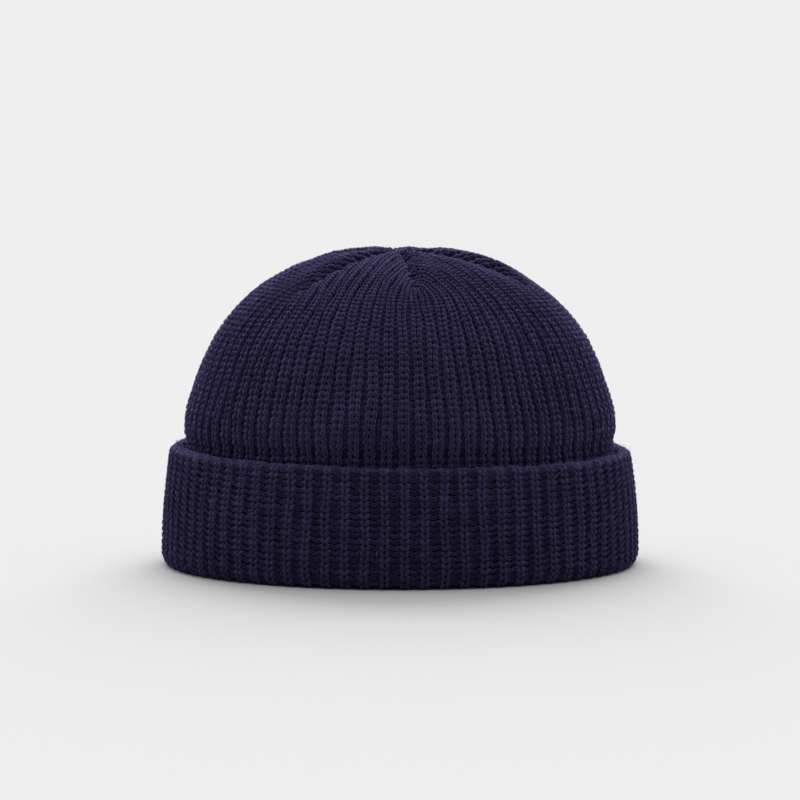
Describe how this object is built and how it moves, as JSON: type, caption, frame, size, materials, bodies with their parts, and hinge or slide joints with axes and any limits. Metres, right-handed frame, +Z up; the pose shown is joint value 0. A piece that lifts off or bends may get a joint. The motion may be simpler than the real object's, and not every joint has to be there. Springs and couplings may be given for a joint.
{
  "type": "fisherman beanie",
  "caption": "Short rib-knit fisherman beanie with a darted crown and a thick turned-up cuff, open below for the head.",
  "frame": {"origin": "middle of the hat, on the surface that its bottom fold rests on", "axes": "+Z up to the top of the crown, -Y towards the front, +X towards the right as seen from the front"},
  "size_m": [0.216, 0.2078, 0.1432],
  "materials": {
    "crown_knit": "matte rib knit, slightly fuzzy",
    "cuff_knit": "matte rib knit, slightly fuzzy"
  },
  "bodies": {
    "root": {"crown": "crown_knit", "cuff": "cuff_knit"}
  },
  "joints": []
}
